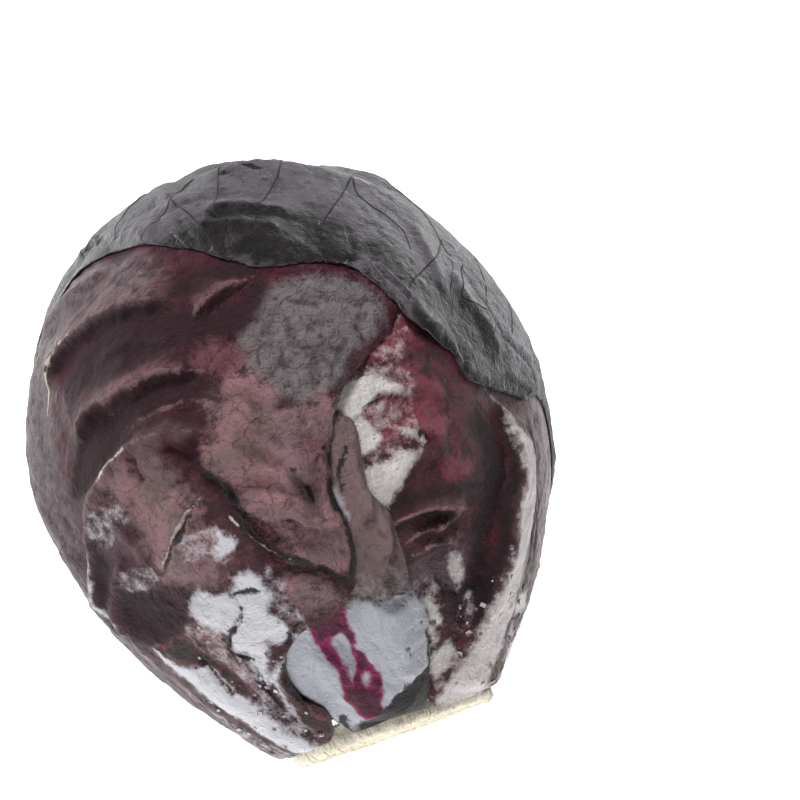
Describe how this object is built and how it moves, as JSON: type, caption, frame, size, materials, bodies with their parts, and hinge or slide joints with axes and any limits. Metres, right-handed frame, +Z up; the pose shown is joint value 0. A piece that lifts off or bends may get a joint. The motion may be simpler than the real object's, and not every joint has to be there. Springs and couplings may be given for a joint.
{
  "type": "red cabbage head",
  "caption": "Red cabbage head lying on its side: broad waxy wrapper leaves folded over a dense heart, with a trimmed, pale cut stem.",
  "frame": {"origin": "centre of the small flat spot on the back of the outermost leaf, on the surface the head lies on", "axes": "+Z up; +Y level, from the cut stem towards the crown, which is raised 20.7 degrees; +X to the right as seen from the stem"},
  "size_m": [0.1599, 0.1877, 0.1604],
  "materials": {
    "cut_stem": "fresh cut, moist cream pith with fine fibres",
    "heart_leaf": "dark wine leaf, semi-matt",
    "wrapper_leaf": "dark wine leaf with raised folds, semi-gloss under a thin grey bloom",
    "stalk_leaf": "pale lavender stalk, waxy and smooth",
    "bloomed_leaf": "charcoal grey leaf under a matt waxy bloom"
  },
  "bodies": {
    "root": {"cut_stem": "cut_stem", "heart": "heart_leaf", "right_back_leaf": "wrapper_leaf", "right_leaf": "wrapper_leaf", "front_leaf": "stalk_leaf", "left_back_leaf": "wrapper_leaf", "left_leaf": "wrapper_leaf", "crown_leaf": "bloomed_leaf"}
  },
  "joints": []
}
